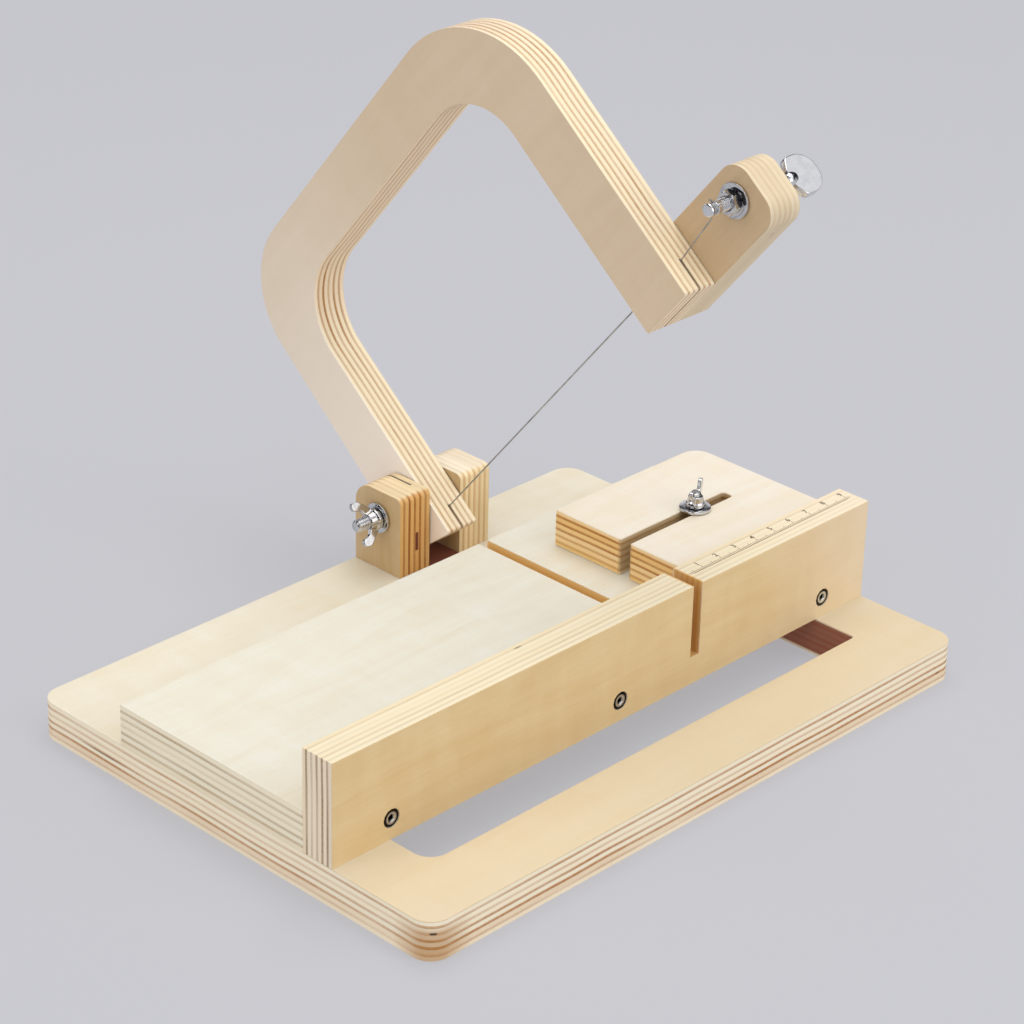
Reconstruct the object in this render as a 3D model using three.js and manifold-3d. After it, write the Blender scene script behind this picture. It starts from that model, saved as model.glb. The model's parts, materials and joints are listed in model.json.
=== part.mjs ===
// Wire cutter of birch plywood: a base with a handle slot, a deck and a fence, and a bow arm that
// carries a steel wire and swings down on a pivot so that the wire ends in a saw cut in the deck.
//
// Millimetres, +Z up. The origin is the middle of the base's underside. +X runs along the fence,
// towards the length stop, and the front of the cutter faces -Y.

import * as THREE from 'three';
import { mergeVertices } from 'three/addons/utils/BufferGeometryUtils.js';
import Module from 'manifold-3d';

const wasm = await Module();
wasm.setup();

// ---------------------------------------------------------------- driving dimensions

const PLY = 15; // nominal thickness of the birch plywood
const GAP = 0.2; // clearance between touching pieces on the arm
const CUT = 4.6; // width of the saw cut that the wire drops into

const BASE = { length: 270, depth: 198, thick: PLY, corner: 8 };
const LEFT = -BASE.length / 2;
const RIGHT = BASE.length / 2;
const FRONT = -BASE.depth / 2;

// Hand slot through the base, in front of the fence and on under it.
const HANDLE = { left: -109, right: 108.5, front: -72, back: -32, corner: 7.5, rightCorner: 1.5 };

const FENCE = { front: -53.5, thick: 14, height: 40 };
const FENCE_BACK = FENCE.front + FENCE.thick;
const DECK = { back: 53, thick: 16 };
const DECK_TOP = BASE.thick + DECK.thick;
const CUT_FLOOR = DECK_TOP - 5; // bottom of the saw cut in deck and fence

const CUT_X = 41; // plane of the wire and the arm
const CUT_MIDDLE = CUT_X - 1; // the wire drops into the cut a little right of its middle

const EAR = { gap: 16, thick: 15.5, front: 74.5, back: 99, height: 33, crown: 8, nose: 2.5 };
const PIVOT = { y: 86, z: BASE.thick + 22, boltRadius: 2.5, boreRadius: 2.7, nutSize: 0.9 };

// The bow arm, drawn in the lowered pose about the pivot: u towards the back, v upwards.
const REST_LIFT = 50.8; // degrees the arm is raised at rest
const ARM = {
  thick: PLY,
  heelBack: 15,
  heelFront: -10,
  backOuter: 11.8,
  backInner: -10.2,
  frontInner: -157.6,
  frontOuter: -183,
  topInner: 91,
  topOuter: 115.5,
  heel: -19.5, // lowest corner of the end at the pivot, which slopes up towards the back
  heelRise: 5.5,
  tip: -21.7,
  outerBack: 34,
  outerFront: 47,
  innerBack: 27,
  innerFront: 28,
};
const WIRE = { radius: 0.3, level: -9.6, slit: 1.2 };

// Ply cheek on the right of the arm's tip, and the screw in it that tightens the wire.
const CHEEK = { front: -223.3, top: 4.3, corner: 8 };
const TUNER = { u: -212, v: -6.5, radius: 2.4, tieX: -4.3, endX: -6.4 };
const NECK = { radius: 1.5, from: TUNER.tieX - 1.3, to: TUNER.tieX + 1.3 }; // groove for the wire
const THUMB = { collar: 30.4, shoulder: 35.4, end: 49.5, half: 7.7, thick: 3.2 };
const TEE_NUT = { radius: 6.4, flange: 1.2, barrel: 3.3, depth: 9 };

// Length stop on the deck, with a slot open at its left end.
const STOP = { left: 58, right: 136.5, front: -39, back: 33, corner: 7.5 };
const STOP_SLOT = { y: -2.4, width: 4.6, end: 115 };
const STOP_BOLT = { x: 96.3, radius: 2, boreRadius: 2.2, headRadius: 3.9, headThick: 2.8, nutSize: 0.78 };

const WASHER = { radius: 6, thick: 1 };
const WOOD_SCREW = { head: 3.3, neck: 1.6, sides: 12 };

// ---------------------------------------------------------------- materials

const plain = (color, roughness, metalness) =>
  new THREE.MeshStandardMaterial({ color, roughness, metalness });
const birch = plain(0xeedfbe, 0.6, 0);
const birchEdge = plain(0xdcc190, 0.65, 0);
const zinc = plain(0xc9ccd0, 0.28, 1);
const blackSteel = plain(0x4a4845, 0.45, 1);
const wireSteel = plain(0x9a9c9f, 0.35, 1);

// ---------------------------------------------------------------- solids

function solid(geometry) {
  const bare = geometry.clone();
  bare.deleteAttribute('normal');
  bare.deleteAttribute('uv');
  const merged = mergeVertices(bare, 1e-4);
  const mesh = new wasm.Mesh({
    numProp: 3,
    vertProperties: new Float32Array(merged.attributes.position.array),
    triVerts: new Uint32Array(merged.index.array),
  });
  return new wasm.Manifold(mesh);
}

function geometryOf(body) {
  const mesh = body.getMesh();
  const geometry = new THREE.BufferGeometry();
  geometry.setAttribute('position', new THREE.BufferAttribute(mesh.vertProperties, 3));
  geometry.setIndex(new THREE.BufferAttribute(mesh.triVerts, 1));
  geometry.computeVertexNormals();
  return geometry;
}

function cut(geometry, ...tools) {
  return geometryOf(tools.reduce((body, tool) => body.subtract(solid(tool)), solid(geometry)));
}

function join(geometry, ...others) {
  return geometryOf(others.reduce((body, other) => body.add(solid(other)), solid(geometry)));
}

function block(x0, x1, y0, y1, z0, z1) {
  const box = new THREE.BoxGeometry(x1 - x0, y1 - y0, z1 - z0);
  return box.translate((x0 + x1) / 2, (y0 + y1) / 2, (z0 + z1) / 2);
}

// Closed outline through corners [u, v, radius], each rounded by an arc.
function outline(corners, stepDegrees = 6) {
  const points = [];
  corners.forEach(([u, v, radius = 0], i) => {
    const corner = new THREE.Vector2(u, v);
    if (radius === 0) {
      points.push(corner);
      return;
    }
    const [pu, pv] = corners.at(i - 1);
    const [nu, nv] = corners[(i + 1) % corners.length];
    const back = new THREE.Vector2(pu, pv).sub(corner).normalize();
    const ahead = new THREE.Vector2(nu, nv).sub(corner).normalize();
    const half = Math.acos(THREE.MathUtils.clamp(back.dot(ahead), -1, 1)) / 2;
    const centre = back.clone().add(ahead).normalize().multiplyScalar(radius / Math.sin(half)).add(corner);
    const start = back.multiplyScalar(radius / Math.tan(half)).add(corner).sub(centre);
    const end = ahead.multiplyScalar(radius / Math.tan(half)).add(corner).sub(centre);
    const sweep = Math.atan2(start.cross(end), start.dot(end));
    const steps = Math.max(2, Math.ceil(Math.abs(THREE.MathUtils.radToDeg(sweep)) / stepDegrees));
    for (let k = 0; k <= steps; k += 1) {
      const turned = start.clone().rotateAround(new THREE.Vector2(), (sweep * k) / steps);
      points.push(turned.add(centre));
    }
  });
  return new THREE.Shape(points);
}

function plateZ(shape, z0, z1) {
  const options = { depth: z1 - z0, bevelEnabled: false, curveSegments: 12 };
  return new THREE.ExtrudeGeometry(shape, options).translate(0, 0, z0);
}

// Extrudes an outline drawn in (y, z) along X, from x0 to x1.
function plateX(shape, x0, x1) {
  const plate = new THREE.ExtrudeGeometry(shape, { depth: x1 - x0, bevelEnabled: false, curveSegments: 12 });
  const turn = new THREE.Matrix4().makeBasis(
    new THREE.Vector3(0, 1, 0), new THREE.Vector3(0, 0, 1), new THREE.Vector3(1, 0, 0),
  );
  return plate.applyMatrix4(turn).translate(x0, 0, 0);
}

function roundZ(radius, z0, z1, sides = 24) {
  const cylinder = new THREE.CylinderGeometry(radius, radius, z1 - z0, sides);
  return cylinder.rotateX(Math.PI / 2).translate(0, 0, (z0 + z1) / 2);
}

function roundX(radius, x0, x1, sides = 24) {
  return roundZ(radius, x0, x1, sides).rotateY(Math.PI / 2);
}

// Solid of revolution about Z from [radius, z] pairs that start and end on the axis.
function turned(profile, sides = 24) {
  const points = profile.map(([r, z]) => new THREE.Vector2(r, z));
  return new THREE.LatheGeometry(points, sides).rotateX(Math.PI / 2);
}

function ring(outer, inner, thick, sides = 24) {
  return turned([[inner, 0], [outer, 0], [outer, thick], [inner, thick], [inner, 0]], sides);
}

// ---------------------------------------------------------------- scene graph

const cutter = new THREE.Group();
const arm = new THREE.Group();
arm.position.set(CUT_X, PIVOT.y, PIVOT.z);
arm.rotation.x = THREE.MathUtils.degToRad(-REST_LIFT);
cutter.add(arm);

function add(name, geometry, material, parent = cutter) {
  const mesh = new THREE.Mesh(geometry, material);
  mesh.name = name;
  parent.add(mesh);
  return mesh;
}

// ---------------------------------------------------------------- fasteners

// Countersunk wood screw with its head's face at z = 0 and its point at z = length.
function woodScrew(length, socket = false) {
  const { head, neck, sides } = WOOD_SCREW;
  const body = turned([
    [0, 0], [head, 0], [head, 0.5], [neck, 0.5 + head - neck], [neck, length - 4], [0, length],
  ], sides);
  return socket ? cut(body, roundZ(1.5, -1, 2, 6)) : body;
}

// Hole for that screw, a little larger all over.
function screwHole(length) {
  const { head, neck, sides } = WOOD_SCREW;
  const grow = 0.3;
  return turned([
    [0, -2], [head + grow, -2], [head + grow, 0.5 + grow], [neck + grow, 0.5 + head - neck + grow],
    [neck + grow, length - 4 + grow], [0, length + 2 * grow],
  ], sides);
}

// Wing nut on +Z, seated at z = 0, with its wings along +Y and -Y. At size 1 it spans 20 mm.
function wingNut(boltRadius, size) {
  const hub = turned([
    [0, 0], [4.6, 0], [4.8, 0.3], [4.8, 1.6], [4.2, 2.4], [3.7, 5], [3.3, 5.4], [0, 5.4],
  ], 20);
  const wing = outline([
    [2.2, 0.9, 0], [4.4, 1.1, 1], [7.6, 4.4, 2.5], [9.9, 7.4, 1.5], [9.4, 11, 1.4], [6.4, 10.4, 1.4],
    [5.4, 6.6, 2], [2.2, 4.6, 0],
  ], 15);
  const blade = plateX(wing, -0.95, 0.95);
  const other = blade.clone().rotateZ(Math.PI);
  const forged = join(hub, blade, other).scale(size, size, size);
  return cut(forged, roundZ(boltRadius + 0.3, -1, 7, 16));
}

// Bolt along +Z: hexagonal head below z = 0, shank from z = 0 to z = length.
function hexBolt(radius, headRadius, headThick, length) {
  const head = turned([
    [0, -headThick], [headRadius - 0.5, -headThick], [headRadius, -headThick + 0.4], [headRadius, 0],
    [radius, 0], [radius, length - 0.6], [radius - 0.5, length], [0, length],
  ], 18);
  const flats = roundZ(headRadius, -headThick - 1, 0, 6);
  const shank = roundZ(radius + 0.2, -headThick - 1, length + 1, 18);
  const hexagon = solid(head).intersect(solid(join(flats, shank)));
  return geometryOf(hexagon);
}

function hexNut(boltRadius, cornerRadius, thick) {
  return cut(roundZ(cornerRadius, 0, thick, 6), roundZ(boltRadius + 0.3, -1, thick + 1, 16));
}

// ---------------------------------------------------------------- base, deck and fence

const deckScrews = [[-118, -22], [-118, 40], [-20, -22], [-20, 40], [121, -22], [121, 40]];
const fenceFootScrews = [-122, 122];
const EAR_LEFT = CUT_X - EAR.gap / 2 - EAR.thick;
const EAR_RIGHT = CUT_X + EAR.gap / 2;
const earScrews = [EAR_LEFT, EAR_RIGHT].flatMap((x) => [[x + EAR.thick / 2, 81], [x + EAR.thick / 2, 93]]);
const SCREW_LENGTH = { deck: 26, fence: 38, ear: 31, side: 36, cheek: 26 };
const fenceCentre = FENCE.front + FENCE.thick / 2;

// A hole for a wood screw driven up from under the base.
function risingHole([x, y], length) {
  return screwHole(length).translate(x, y, 0);
}

function baseBoard() {
  const r = BASE.corner;
  const back = BASE.depth / 2;
  const plan = outline([[LEFT, FRONT, r], [RIGHT, FRONT, r], [RIGHT, back, r], [LEFT, back, r]]);
  const h = HANDLE;
  const slot = outline([
    [h.left, h.front, h.corner], [h.right, h.front, h.rightCorner],
    [h.right, h.back, h.rightCorner], [h.left, h.back, h.corner],
  ]);
  return cut(
    plateZ(plan, 0, BASE.thick),
    plateZ(slot, -1, BASE.thick + 1),
    ...deckScrews.map((at) => risingHole(at, SCREW_LENGTH.deck)),
    ...fenceFootScrews.map((x) => risingHole([x, fenceCentre], SCREW_LENGTH.fence)),
    ...earScrews.map((at) => risingHole(at, SCREW_LENGTH.ear)),
    roundZ(STOP_BOLT.boreRadius, -1, BASE.thick + 1).translate(STOP_BOLT.x, STOP_SLOT.y, 0),
    roundZ(WASHER.radius + 1, -1, 5).translate(STOP_BOLT.x, STOP_SLOT.y, 0),
  );
}

const sideScrews = [-108.5, 1.5, 111.5];
const SIDE_SCREW_Z = BASE.thick + DECK.thick / 2;

// Turns a tool made on +Z to point along +Y, into the front of the fence.
function fromFront(geometry, x) {
  return geometry.rotateX(-Math.PI / 2).translate(x, FENCE.front, SIDE_SCREW_Z);
}

function deckBoard() {
  return cut(
    block(LEFT, RIGHT, FENCE_BACK, DECK.back, BASE.thick, DECK_TOP),
    block(CUT_MIDDLE - CUT / 2, CUT_MIDDLE + CUT / 2, FENCE_BACK - 1, DECK.back + 1, CUT_FLOOR, DECK_TOP + 1),
    ...deckScrews.map((at) => risingHole(at, SCREW_LENGTH.deck)),
    ...sideScrews.map((x) => fromFront(screwHole(SCREW_LENGTH.side), x)),
    roundZ(STOP_BOLT.boreRadius, BASE.thick - 1, DECK_TOP + 1).translate(STOP_BOLT.x, STOP_SLOT.y, 0),
  );
}

function fenceBoard() {
  const top = BASE.thick + FENCE.height;
  return cut(
    block(LEFT, RIGHT, FENCE.front, FENCE_BACK, BASE.thick, top),
    block(CUT_MIDDLE - CUT / 2, CUT_MIDDLE + CUT / 2, FENCE.front - 1, FENCE_BACK + 1, CUT_FLOOR, top + 1),
    ...fenceFootScrews.map((x) => risingHole([x, fenceCentre], SCREW_LENGTH.fence)),
    ...sideScrews.map((x) => fromFront(screwHole(SCREW_LENGTH.side), x)),
  );
}

add('base_board', baseBoard(), birch);
add('deck_board', deckBoard(), birch);
add('fence_board', fenceBoard(), birch);
deckScrews.forEach(([x, y], i) => {
  add(`deck_screw_${i + 1}`, woodScrew(SCREW_LENGTH.deck), zinc).position.set(x, y, 0.3);
});
fenceFootScrews.forEach((x, i) => {
  add(`fence_foot_screw_${i + 1}`, woodScrew(SCREW_LENGTH.fence), zinc).position.set(x, fenceCentre, 0.3);
});
sideScrews.forEach((x, i) => {
  add(`fence_side_screw_${i + 1}`, fromFront(woodScrew(SCREW_LENGTH.side, true), x), blackSteel)
    .position.set(0, 0.2, 0);
});

// ---------------------------------------------------------------- pivot

function ear(x0) {
  const top = BASE.thick + EAR.height;
  const side = outline([
    [EAR.front, BASE.thick, 0], [EAR.back, BASE.thick, 0], [EAR.back, top, EAR.crown],
    [EAR.front, top, EAR.nose],
  ]);
  const x1 = x0 + EAR.thick;
  const drilled = earScrews.filter(([x]) => x > x0 && x < x1);
  return cut(
    plateX(side, x0, x1),
    roundX(PIVOT.boreRadius, x0 - 1, x1 + 1).translate(0, PIVOT.y, PIVOT.z),
    ...drilled.map((at) => risingHole(at, SCREW_LENGTH.ear)),
  );
}

add('pivot_ear_left', ear(EAR_LEFT), birchEdge);
add('pivot_ear_right', ear(EAR_RIGHT), birchEdge);
earScrews.forEach(([x, y], i) => {
  add(`ear_screw_${i + 1}`, woodScrew(SCREW_LENGTH.ear), zinc).position.set(x, y, 0.3);
});

// Places a piece made on +Z along -X, seated at x on the pivot's axis.
function onPivot(mesh, x) {
  mesh.rotation.y = -Math.PI / 2;
  mesh.position.set(x, PIVOT.y, PIVOT.z);
  return mesh;
}

const RUN = 0.3; // clearance between turned pieces seated on each other
const pivotRight = EAR_RIGHT + EAR.thick;
const pivotBoltLength = pivotRight + RUN + WASHER.thick - EAR_LEFT + 12.5;
const pivotRing = ring(WASHER.radius, PIVOT.boreRadius, WASHER.thick);
onPivot(add('pivot_washer_right', pivotRing, zinc), pivotRight + RUN + WASHER.thick);
onPivot(
  add('pivot_bolt', hexBolt(PIVOT.boltRadius, 4.6, 3.5, pivotBoltLength), zinc),
  pivotRight + 2 * RUN + WASHER.thick,
);
onPivot(add('pivot_washer_left', pivotRing, zinc), EAR_LEFT - RUN);
const pivotNut = wingNut(PIVOT.boltRadius, PIVOT.nutSize);
const PIVOT_NUT_TURN = 30; // degrees its wings lean from upright
pivotNut.rotateZ(THREE.MathUtils.degToRad(90 + PIVOT_NUT_TURN));
onPivot(add('pivot_wing_nut', pivotNut, zinc), EAR_LEFT - 2 * RUN - WASHER.thick);

// ---------------------------------------------------------------- bow arm

const HALF = ARM.thick / 2;
const cheekLeft = HALF + GAP;
const cheekRight = cheekLeft + PLY;
const cheekScrews = [[-176.5, -1], [-164.5, -14]];
const ANCHOR = { v: 9.5, radius: 1.5, head: 3.6, length: 12 };

function bowArm() {
  const a = ARM;
  const side = outline([
    [a.heelFront, a.heel, 1], [a.heelBack, a.heel + a.heelRise, 7], [a.backOuter, a.topOuter, a.outerBack],
    [a.frontOuter, a.topOuter, a.outerFront], [a.frontOuter, a.tip, 1], [a.frontInner, a.tip, 1],
    [a.frontInner, a.topInner, a.innerFront], [a.backInner, a.topInner, a.innerBack],
  ], 5);
  const slitTop = WIRE.level + WIRE.radius + 0.3;
  const slit = (u0, u1) => block(-WIRE.slit / 2, WIRE.slit / 2, u0, u1, a.tip - 5, slitTop);
  return cut(
    plateX(side, -HALF, HALF),
    roundX(PIVOT.boreRadius, -HALF - 1, HALF + 1),
    slit(a.heelFront - 1, a.heelBack + 1),
    slit(a.frontOuter - 1, a.frontInner + 1),
    anchorHole(),
    ...cheekScrews.map(([u, v]) => fromRight(screwHole(SCREW_LENGTH.cheek), u, v)),
  );
}

// Turns a tool made on +Z to point along -X, into the right face of the cheek.
function fromRight(geometry, u, v) {
  return geometry.rotateY(-Math.PI / 2).translate(cheekRight, u, v);
}

// Place along u of the arm's outer back face at height v.
function backFace(v) {
  const low = ARM.heel + ARM.heelRise;
  const rise = (v - low) / (ARM.topOuter - low);
  return ARM.heelBack + (ARM.backOuter - ARM.heelBack) * rise;
}

// Turns a piece made on +Z to point along -u, into the arm's outer back face.
function fromBack(geometry, u) {
  return geometry.rotateX(Math.PI / 2).translate(0, u, ANCHOR.v);
}

function anchorHole() {
  return fromBack(roundZ(ANCHOR.radius + 0.3, -1, ANCHOR.length + 1, 16), backFace(ANCHOR.v));
}

function tensionCheek() {
  const side = outline([
    [CHEEK.front, ARM.tip, CHEEK.corner], [ARM.frontInner, ARM.tip, 1], [ARM.frontInner, CHEEK.top, 1],
    [CHEEK.front, CHEEK.top, CHEEK.corner],
  ]);
  return cut(
    plateX(side, cheekLeft, cheekRight),
    roundX(TUNER.radius + 0.3, cheekLeft - 1, cheekRight + 1, 20).translate(0, TUNER.u, TUNER.v),
    roundX(TEE_NUT.barrel + 0.3, cheekRight - TEE_NUT.depth - 0.3, cheekRight + 1, 20)
      .translate(0, TUNER.u, TUNER.v),
    ...cheekScrews.map(([u, v]) => fromRight(screwHole(SCREW_LENGTH.cheek), u, v)),
  );
}

add('bow_arm', bowArm(), birchEdge, arm);
add('tension_cheek', tensionCheek(), birchEdge, arm);
cheekScrews.forEach(([u, v], i) => {
  const screw = fromRight(woodScrew(SCREW_LENGTH.cheek), u, v).translate(-0.3, 0, 0);
  add(`cheek_screw_${i + 1}`, screw, zinc, arm);
});

// Pan-head screw and washer at the back of the arm that hold the wire's fixed end.
const anchorWasherSeat = backFace(ANCHOR.v) + 1.3; // room for the wire under the washer
const anchorHeadSeat = anchorWasherSeat + 0.8 + GAP;
function anchorScrew() {
  const { radius, head, length } = ANCHOR;
  const proud = anchorHeadSeat - backFace(ANCHOR.v);
  const pan = turned([
    [0, -2.4], [head - 1.4, -2.4], [head - 0.3, -1.7], [head, -0.8], [head, 0], [radius, 0],
    [radius, proud + length - 3], [0, proud + length],
  ], 20);
  return fromBack(pan, anchorHeadSeat);
}
add('wire_anchor_screw', anchorScrew(), zinc, arm);
const anchorRing = fromBack(ring(4.2, ANCHOR.radius + 0.3, 0.8, 20), anchorWasherSeat + 0.8);
add('wire_anchor_washer', anchorRing, zinc, arm);

// ---------------------------------------------------------------- tension screw

// Turns a piece made on +Z to lie along +X, so that its heights become places along X.
function alongX(geometry) {
  return geometry.rotateY(Math.PI / 2);
}

// Screw with a flat thumb head on the right and a grooved end on the left that holds the wire.
function tensionScrew() {
  const { radius: r, endX } = TUNER;
  const { collar, shoulder, end, half, thick } = THUMB;
  const shaft = turned([
    [0, endX], [r - 0.5, endX], [r, endX + 0.5], [r, NECK.from - 0.5], [NECK.radius, NECK.from],
    [NECK.radius, NECK.to], [r, NECK.to + 0.5], [r, collar], [3.6, collar], [3.6, collar + 1.3],
    [2.2, collar + 2], [2.2, shoulder - 1.2], [3, shoulder], [3, shoulder + 3], [0, shoulder + 3],
  ], 20);
  const paddle = outline([
    [-3, shoulder, 0], [3, shoulder, 0], [half, shoulder + 2.5, 2.5], [half, end, 7.5],
    [-half, end, 7.5], [-half, shoulder + 2.5, 2.5],
  ], 12);
  return alongX(join(shaft, plateX(paddle, -thick / 2, thick / 2)));
}

// Threaded nut let into the cheek's right face, with a flange on that face.
function teeNut() {
  const inner = TUNER.radius + 0.3;
  const seat = cheekRight + GAP;
  const start = cheekRight - TEE_NUT.depth;
  return alongX(turned([
    [inner, start], [TEE_NUT.barrel, start], [TEE_NUT.barrel, seat], [TEE_NUT.radius, seat],
    [TEE_NUT.radius, seat + TEE_NUT.flange], [inner, seat + TEE_NUT.flange], [inner, start],
  ], 20));
}

const TUNER_TURN = 92; // degrees its flat head is turned at rest
const tuner = new THREE.Group();
tuner.position.set(0, TUNER.u, TUNER.v);
tuner.rotation.x = THREE.MathUtils.degToRad(TUNER_TURN);
arm.add(tuner);
add('tension_screw', tensionScrew(), zinc, tuner);

function onTunerAxis(mesh) {
  mesh.position.set(0, TUNER.u, TUNER.v);
  return mesh;
}

const lockSeat = cheekLeft - GAP - WASHER.thick; // left face of the washer under the lock nut
const LOCK_NUT = { corner: 4.5, thick: 3.4 };
const lockRing = ring(WASHER.radius + 0.4, TUNER.radius + 0.3, WASHER.thick).translate(0, 0, lockSeat);
const lockNut = hexNut(TUNER.radius, LOCK_NUT.corner, LOCK_NUT.thick);
lockNut.translate(0, 0, lockSeat - GAP - LOCK_NUT.thick);
onTunerAxis(add('tension_tee_nut', teeNut(), zinc, arm));
onTunerAxis(add('tension_washer', alongX(lockRing), zinc, arm));
onTunerAxis(add('tension_lock_nut', alongX(lockNut), zinc, arm));

// ---------------------------------------------------------------- wire

// A path through a list of points, with one step of a tube from each point to the next.
class Route extends THREE.Curve {
  constructor(points) {
    super();
    this.points = points;
  }

  getPoint(t, target = new THREE.Vector3()) {
    const place = t * (this.points.length - 1);
    const i = Math.min(Math.floor(place), this.points.length - 2);
    return target.lerpVectors(this.points[i], this.points[i + 1], place - i);
  }

  getPointAt(t, target) {
    return this.getPoint(t, target);
  }

  getTangentAt(t, target = new THREE.Vector3()) {
    const step = 0.5 / (this.points.length - 1);
    const ahead = this.getPoint(Math.min(t + step, 1));
    return target.subVectors(ahead, this.getPoint(Math.max(t - step, 0))).normalize();
  }
}

function tube(points, radius, sides = 8) {
  const section = new THREE.Shape();
  for (let k = 0; k < sides; k += 1) {
    const angle = (2 * Math.PI * k) / sides;
    section[k ? 'lineTo' : 'moveTo'](radius * Math.cos(angle), radius * Math.sin(angle));
  }
  section.closePath();
  const extrudePath = new Route(points);
  return new THREE.ExtrudeGeometry(section, { steps: points.length - 1, bevelEnabled: false, extrudePath });
}

// From the anchor screw round to the slit, straight across to the tip, and on to the groove.
function wireRoute() {
  const v = WIRE.level;
  const behind = backFace(v) + 0.45;
  const turn = ANCHOR.radius + WIRE.radius + 0.4;
  const points = [];
  for (let degrees = 260; degrees >= 0; degrees -= 20) {
    const angle = THREE.MathUtils.degToRad(degrees);
    points.push(new THREE.Vector3(turn * Math.cos(angle), behind, ANCHOR.v + turn * Math.sin(angle)));
  }
  const rest = [
    [turn * 0.96, behind, ANCHOR.v - 1.2], [turn * 0.8, behind, ANCHOR.v - 3.5], [0.5, behind, v + 6],
    [0.1, behind, v + 3.5], [0, behind, v + 1.5], [0, behind, v + 0.5], [0, behind - 0.15, v + 0.15],
    [0, behind - 0.5, v], [0, behind - 1.5, v], [0, ARM.heelFront, v], [0, ARM.frontInner, v],
    [0, ARM.frontOuter + 2, v], [-0.1, ARM.frontOuter, v], [-0.5, ARM.frontOuter - 2.5, v + 0.05],
    [TUNER.tieX - 0.9, TUNER.u + 1.2, TUNER.v - NECK.radius - WIRE.radius - 0.75],
  ];
  return points.concat(rest.map((place) => new THREE.Vector3(...place)));
}
add('cutting_wire', tube(wireRoute(), WIRE.radius), wireSteel, arm);

// The wire's last turns, wound in the groove of the tension screw.
function winding() {
  const turns = 3;
  const steps = 12; // to a turn
  const radius = NECK.radius + WIRE.radius + 0.18;
  const pitch = 0.72;
  const first = TUNER.tieX - 0.9;
  const points = [];
  for (let k = 0; k <= steps * turns; k += 1) {
    const angle = (2 * Math.PI * k) / steps;
    const x = first + (pitch * k) / steps;
    points.push(new THREE.Vector3(x, radius * Math.cos(angle), radius * Math.sin(angle)));
  }
  return tube(points, WIRE.radius, 6);
}
add('wire_winding', winding(), wireSteel, tuner);

// ---------------------------------------------------------------- length stop

function stopBlock() {
  const s = STOP;
  const plan = outline([
    [s.left, s.front, 0.6], [s.right, s.front, 0.6], [s.right, s.back, s.corner], [s.left, s.back, 0.6],
  ]);
  const half = STOP_SLOT.width / 2;
  const slot = outline([
    [s.left - 5, STOP_SLOT.y - half, 0], [STOP_SLOT.end, STOP_SLOT.y - half, half * 0.6],
    [STOP_SLOT.end, STOP_SLOT.y + half, half * 0.6], [s.left - 5, STOP_SLOT.y + half, 0],
  ], 15);
  return cut(plateZ(plan, DECK_TOP, DECK_TOP + PLY), plateZ(slot, DECK_TOP - 1, DECK_TOP + PLY + 1));
}

const stopTop = DECK_TOP + PLY;
const stopHeadSeat = 5 - RUN; // the head is sunk in the base's underside
const stopBoltLength = stopTop + WASHER.thick + 6.6 - stopHeadSeat;

function atStopBolt(mesh, z) {
  mesh.position.set(STOP_BOLT.x, STOP_SLOT.y, z);
  return mesh;
}

add('stop_block', stopBlock(), birch);
const stopBolt = hexBolt(STOP_BOLT.radius, STOP_BOLT.headRadius, STOP_BOLT.headThick, stopBoltLength);
atStopBolt(add('stop_bolt', stopBolt, zinc), stopHeadSeat);
atStopBolt(add('stop_washer', ring(WASHER.radius, STOP_BOLT.boreRadius, WASHER.thick), zinc), stopTop + RUN);
const STOP_NUT_TURN = -64; // degrees its wings are turned from the Y axis
const stopNut = wingNut(STOP_BOLT.radius, STOP_BOLT.nutSize).rotateZ(THREE.MathUtils.degToRad(STOP_NUT_TURN));
atStopBolt(add('stop_wing_nut', stopNut, zinc), stopTop + 2 * RUN + WASHER.thick);

export default cutter;
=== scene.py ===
"""Looks of a birch-plywood wire cutter: eased boards with ply edges, zinc-plated hardware, a taut wire.

Metres, +Z up. The frame's own pieces give every place; hardware shapes are drawn in millimetres.
"""

import json
import math
from collections import namedtuple

import bmesh
import bpy
from mathutils import Matrix, Vector

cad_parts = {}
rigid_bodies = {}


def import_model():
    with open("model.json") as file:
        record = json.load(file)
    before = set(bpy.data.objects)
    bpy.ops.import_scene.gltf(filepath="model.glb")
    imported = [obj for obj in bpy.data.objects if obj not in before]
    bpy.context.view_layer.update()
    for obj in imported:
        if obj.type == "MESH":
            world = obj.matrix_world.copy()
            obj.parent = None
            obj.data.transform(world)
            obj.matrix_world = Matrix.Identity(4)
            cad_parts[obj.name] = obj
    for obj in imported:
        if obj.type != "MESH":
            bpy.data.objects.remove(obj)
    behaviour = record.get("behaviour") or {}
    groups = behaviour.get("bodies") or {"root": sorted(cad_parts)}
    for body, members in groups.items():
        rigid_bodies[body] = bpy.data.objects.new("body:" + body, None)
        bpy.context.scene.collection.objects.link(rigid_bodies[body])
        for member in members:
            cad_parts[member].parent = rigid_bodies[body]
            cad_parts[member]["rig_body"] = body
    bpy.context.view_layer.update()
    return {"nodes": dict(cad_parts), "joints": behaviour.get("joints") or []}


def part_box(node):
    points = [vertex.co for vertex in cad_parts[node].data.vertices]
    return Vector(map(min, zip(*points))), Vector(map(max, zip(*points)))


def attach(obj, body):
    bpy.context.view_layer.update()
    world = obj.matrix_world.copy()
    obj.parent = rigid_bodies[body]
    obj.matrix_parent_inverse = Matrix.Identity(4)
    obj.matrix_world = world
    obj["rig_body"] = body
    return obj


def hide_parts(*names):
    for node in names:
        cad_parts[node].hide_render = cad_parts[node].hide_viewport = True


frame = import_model()

MM = 0.001
NODES = frame["nodes"]
JOINTS = {joint["name"]: joint for joint in frame["joints"]}
X, Y, Z = Vector((1, 0, 0)), Vector((0, 1, 0)), Vector((0, 0, 1))

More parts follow.
